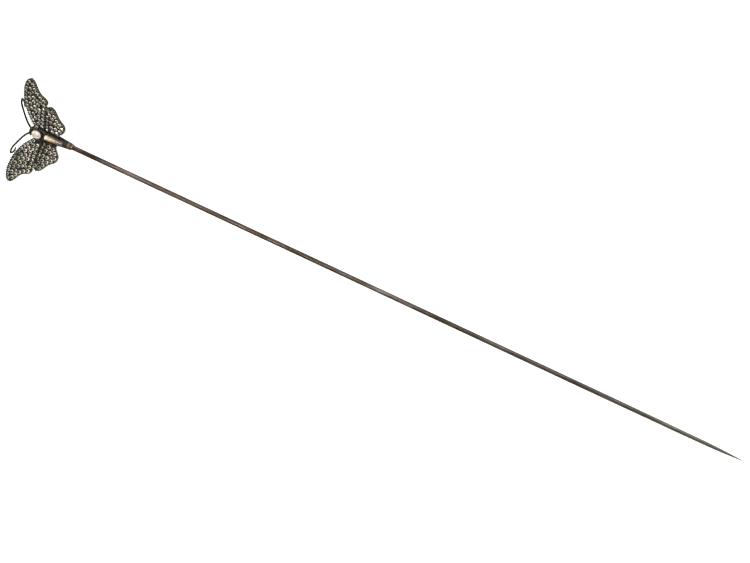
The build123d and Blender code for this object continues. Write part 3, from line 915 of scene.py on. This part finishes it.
tree.links.new(dulled, shader.inputs["Base Color"])
tree.links.new(between(tree, foil, 0.06, 0.16, 0.35, 0.65), shader.inputs["Roughness"])
shader.inputs["Metallic"].default_value = 0.4
shader.inputs["Coat Weight"].default_value = 0.6
shader.inputs["Coat Roughness"].default_value = 0.03

# Painted reflections: how bright each facet is painted, and how much that varies: the table in eight parts,
# then the star, main and girdle facets of the crown, the girdle itself and the facets below.
painted_facet_middle = np.concatenate([np.tile([0.04, 0.22], 4), np.repeat([0.5, 0.9, 0.72, 0.4, 0.3], 8)])
painted_facet_spread = np.repeat([0.2, 0.4, 0.22, 0.25, 0.1, 0.1], 8)
painted_front_dimming = 0.66
stone_shape = brilliant()
stone_lift = 0.02 * MM
stone_share = 0.985
for wing, lean in wing_leans.items():
    stones, face = find_stones(f"{wing}_stones_right", lean)
    rearward = (stones[:, :1] - stones[:, 0].min()) / np.ptp(stones[:, 0])
    spots = np.column_stack([stones[:, :2], np.full(len(stones), face + stone_lift)])
    for side, sign in (("right", 1), ("left", -1)):
        chance = np.random.default_rng(len(wing + side) * 7 + len(stones))
        turns = chance.uniform(0, np.pi / 4, len(stones))
        spread = (spots, stones[:, 2] * stone_share, turns, wing_axes(lean), sign, False)
        piece = strewn(f"{wing}_paste_{side}", stone_shape, *spread)
        light = painted_facet_middle + painted_facet_spread * chance.uniform(-1, 1, (len(stones), len(painted_facet_middle)))
        # Painted shade: stones are painted dimmer towards each wing's front and brighter at its rear, where
        # the light falls most, and each stone gets its own random painted brightness.
        light *= painted_front_dimming + (1 - painted_front_dimming) * rearward
        light *= chance.uniform(0.7, 1.1, (len(stones), 1))
        casts = np.repeat(chance.uniform(0, 1, len(stones)), len(painted_facet_middle))
        facet = piece.data.attributes.new("facet", "FLOAT", "FACE")
        facet.data.foreach_set("value", np.clip(light, 0, 1).ravel().astype(np.float32))
        shade = piece.data.attributes.new("cast", "FLOAT", "FACE")
        shade.data.foreach_set("value", casts.astype(np.float32))
        fit_out(piece, paste, "pave_stone", f"{wing}_stones_{side}")


# ---- Floor, lights and camera
# A plain white table with soft light from its sides, and less from above, so that the dark metal
# keeps its depth and the stones' sloping facets catch the light.
def soft_light(name, place, aim, size, watts, colour):
    """A rectangular area lamp at a place, turned to face aim."""
    lamp = bpy.data.lights.new(name, "AREA")
    lamp.shape = "RECTANGLE"
    lamp.size, lamp.size_y = size
    lamp.energy = watts
    lamp.color = colour
    holder = bpy.data.objects.new(name, lamp)
    holder.location = place
    holder.rotation_euler = (Vector(aim) - Vector(place)).to_track_quat("-Z", "Y").to_euler()
    bpy.context.scene.collection.objects.link(holder)


floor_half = 1.5
floor_height = cad_box[0].z
floor_points = np.array([(-1, -1), (1, -1), (1, 1), (-1, 1)]) * floor_half
floor_points = np.column_stack([floor_points, np.full(4, floor_height)])
floor = new_piece("floor", floor_points, *in_turn(np.arange(4)[None]), False)
white, tree, shader, _ = start_material("white_table")
shader.inputs["Base Color"].default_value = (0.8, 0.8, 0.8, 1)
shader.inputs["Roughness"].default_value = 0.9
seen = put(tree, "ShaderNodeLightPath").outputs["Is Camera Ray"]
lift = put(tree, "ShaderNodeEmission", {"Color": (1, 1, 1, 1), "Strength": 0.82})
none = put(tree, "ShaderNodeEmission", {"Color": (0, 0, 0, 1), "Strength": 0.0})
chosen = put(tree, "ShaderNodeMixShader", {"Fac": seen, 1: none.outputs[0], 2: lift.outputs[0]})
total = put(tree, "ShaderNodeAddShader", {0: shader.outputs[0], 1: chosen.outputs[0]})
tree.links.new(total.outputs[0], tree.nodes["Material Output"].inputs["Surface"])
floor.data.materials.append(white)

world = bpy.data.worlds.new("soft_room")
bpy.context.scene.world = world
world.use_nodes = True
world.node_tree.nodes["Background"].inputs["Color"].default_value = (0.9, 0.92, 1, 1)
world.node_tree.nodes["Background"].inputs["Strength"].default_value = 0.12

middle = Vector((0.5 * stem_high.x, 0, 0))
soft_light("side_beyond", middle + Vector((0, 0.55, 0.3)), middle, (0.9, 0.4), 3.3, (1, 0.985, 0.96))
soft_light("side_near", middle + Vector((0, -0.55, 0.25)), middle, (0.9, 0.35), 1.6, (1, 0.97, 0.92))
soft_light("end_head", middle + Vector((-0.6, 0.05, 0.3)), middle, (0.5, 0.35), 1.6, (1, 0.98, 0.95))
soft_light("end_point", middle + Vector((0.6, 0, 0.3)), middle, (0.5, 0.35), 1.2, (0.96, 0.98, 1))
soft_light("overhead", middle + Vector((-0.12, 0.12, 0.5)), middle, (0.17, 0.17), 1.6, (1, 1, 1))

view_tilt = math.radians(24)
view_turn = math.radians(25.06)
towards = Vector((0, math.sin(view_tilt), math.cos(view_tilt)))
down_table = Vector((0, -math.cos(view_tilt), math.sin(view_tilt)))
right = math.cos(view_turn) * Vector((1, 0, 0)) - math.sin(view_turn) * down_table
up = -math.sin(view_turn) * Vector((1, 0, 0)) - math.cos(view_turn) * down_table
view_distance = 198 * MM
aim = Vector((83.9 * MM, 0, 0)) - 1.72 * MM * down_table
lens = bpy.data.cameras.new("camera")
lens.lens = 37.4
lens.sensor_width = 36
lens.clip_start = 0.005
camera = bpy.data.objects.new("camera", lens)
placed = Matrix((right, up, towards)).transposed().to_4x4()
placed.translation = aim + view_distance * towards
camera.matrix_world = placed
bpy.context.scene.collection.objects.link(camera)
bpy.context.scene.camera = camera
bpy.context.scene.view_settings.view_transform = "Standard"
